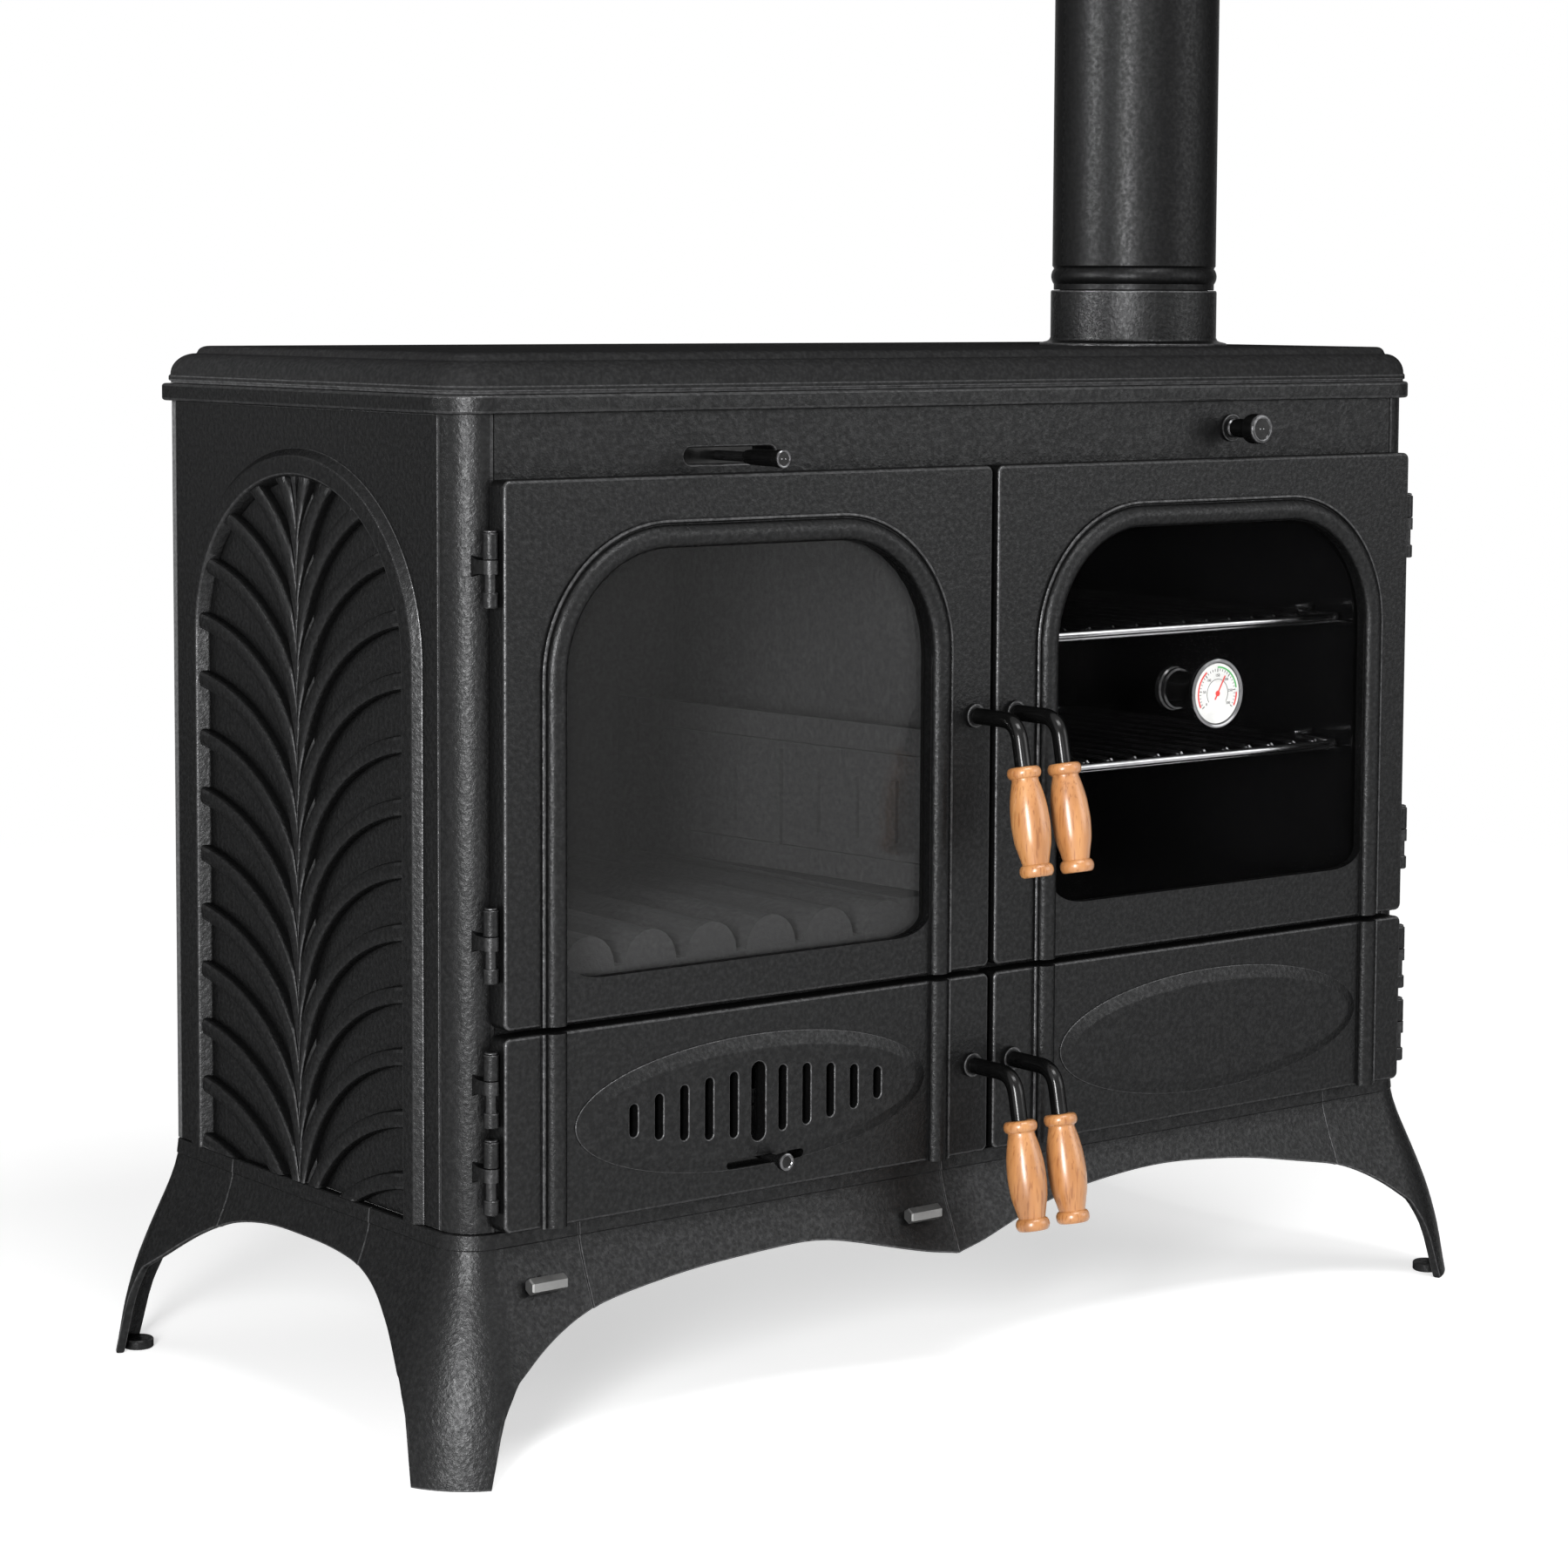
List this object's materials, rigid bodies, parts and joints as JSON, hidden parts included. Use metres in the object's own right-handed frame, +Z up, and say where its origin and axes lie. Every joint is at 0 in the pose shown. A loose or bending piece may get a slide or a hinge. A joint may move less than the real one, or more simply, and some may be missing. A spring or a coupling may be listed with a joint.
{
  "type": "cast iron range cooker",
  "caption": "Wood-burning cast iron range cooker with glazed firebox and oven, ash and storage doors, flat cooktop, round flue and splayed legs",
  "frame": {"origin": "on the floor, at the middle of the whole cooker's plan", "axes": "+Z up, the front with its doors faces -Y, +X to the right seen from the front"},
  "size_m": [1.1326, 0.6028, 1.351],
  "materials": {
    "cast_iron": "sand-cast, charcoal, soft satin sheen",
    "cast_plate": "plain cast plate, matt charcoal",
    "stove_pipe": "satin black stove enamel",
    "black_enamel": "gloss black vitreous enamel",
    "black_gloss": "gloss black",
    "beech": "turned beech, clear varnish",
    "zinc": "zinc-plated, dull",
    "chrome": "bright plated",
    "rope": "woven glass rope, grey",
    "dial": "white enamel with printed scale",
    "fire_glass": "clear ceramic glass",
    "oven_glass": "clear toughened glass"
  },
  "bodies": {
    "cooker_body": {"front_frame": "cast_iron", "side_panel_left": "cast_iron", "side_panel_right": "cast_iron", "cooktop": "cast_iron", "flue_collar": "cast_iron", "leg_front_left": "cast_iron", "leg_front_right": "cast_iron", "leg_rear_left": "cast_iron", "leg_rear_right": "cast_iron", "apron_front_left": "cast_iron", "apron_front_right": "cast_iron", "apron_left": "cast_iron", "apron_right": "cast_iron", "apron_rear": "cast_iron", "fire_grate": "cast_iron", "firebox_ribbed_plate": "cast_iron", "back_panel": "cast_plate", "base_plate": "cast_plate", "centre_partition": "cast_plate", "hearth_plate": "cast_plate", "firebox_side_plate": "cast_plate", "firebox_rear_plate": "cast_plate", "ash_pan": "cast_plate", "flue_pipe": "stove_pipe", "oven_box": "black_enamel", "oven_rack_lower": "chrome", "oven_rack_upper": "chrome", "ash_lip_peg_left": "zinc", "ash_lip_peg_right": "zinc"},
    "fire_door": {"fire_door": "cast_iron", "fire_door_glass": "fire_glass", "fire_glass_retainer": "black_gloss", "fire_door_seal": "rope", "fire_door_hinge_pin_lower": "zinc", "fire_door_hinge_pin_upper": "zinc"},
    "oven_door": {"oven_door": "cast_iron", "oven_door_glass": "oven_glass", "oven_glass_retainer": "black_gloss", "oven_door_seal": "rope", "oven_thermometer": "chrome", "thermometer_dial": "dial", "oven_door_hinge_pin_lower": "zinc", "oven_door_hinge_pin_upper": "zinc"},
    "ash_door": {"ash_door": "cast_iron", "ash_door_hinge_pin_lower": "zinc", "ash_door_hinge_pin_upper": "zinc"},
    "storage_door": {"storage_door": "cast_iron", "storage_door_hinge_pin_lower": "zinc", "storage_door_hinge_pin_upper": "zinc"},
    "fire_door_handle": {"fire_door_lever": "black_gloss", "fire_door_grip": "beech"},
    "oven_door_handle": {"oven_door_lever": "black_gloss", "oven_door_grip": "beech"},
    "ash_door_handle": {"ash_door_lever": "black_gloss", "ash_door_grip": "beech"},
    "storage_door_handle": {"storage_door_lever": "black_gloss", "storage_door_grip": "beech"},
    "air_slider": {"air_slider": "black_gloss"},
    "flue_damper": {"flue_damper": "black_gloss"},
    "air_register": {"air_register": "black_gloss"}
  },
  "joints": [
    {"name": "fire_door_hinge", "type": "hinge", "parent": "cooker_body", "child": "fire_door", "pos_m": [-0.4955, -0.19892, 0.55], "axis": [0, 0, -1], "range_deg": [0, 110]},
    {"name": "oven_door_hinge", "type": "hinge", "parent": "cooker_body", "child": "oven_door", "pos_m": [0.4955, -0.19892, 0.55], "axis": [0, 0, 1], "range_deg": [0, 110]},
    {"name": "ash_door_hinge", "type": "hinge", "parent": "cooker_body", "child": "ash_door", "pos_m": [-0.4955, -0.19892, 0.2605], "axis": [0, 0, -1], "range_deg": [0, 110]},
    {"name": "storage_door_hinge", "type": "hinge", "parent": "cooker_body", "child": "storage_door", "pos_m": [0.4955, -0.19892, 0.2605], "axis": [0, 0, 1], "range_deg": [0, 110]},
    {"name": "fire_handle_turn", "type": "hinge", "parent": "fire_door", "child": "fire_door_handle", "pos_m": [-0.026, -0.20792, 0.5515], "axis": [0, 1, 0], "range_deg": [0, 90]},
    {"name": "oven_handle_turn", "type": "hinge", "parent": "oven_door", "child": "oven_door_handle", "pos_m": [0.018, -0.20792, 0.5515], "axis": [0, -1, 0], "range_deg": [0, 90]},
    {"name": "ash_handle_turn", "type": "hinge", "parent": "ash_door", "child": "ash_door_handle", "pos_m": [-0.026, -0.20792, 0.2605], "axis": [0, 1, 0], "range_deg": [0, 90]},
    {"name": "storage_handle_turn", "type": "hinge", "parent": "storage_door", "child": "storage_door_handle", "pos_m": [0.018, -0.20792, 0.2605], "axis": [0, -1, 0], "range_deg": [0, 90]},
    {"name": "air_slider_slide", "type": "slide", "parent": "cooker_body", "child": "air_slider", "axis": [1, 0, 0], "range_m": [-0.03, 0.045]},
    {"name": "flue_damper_pull", "type": "slide", "parent": "cooker_body", "child": "flue_damper", "axis": [0, -1, 0], "range_m": [0, 0.05]},
    {"name": "air_register_slide", "type": "slide", "parent": "ash_door", "child": "air_register", "axis": [1, 0, 0], "range_m": [-0.036, 0.024]}
  ]
}
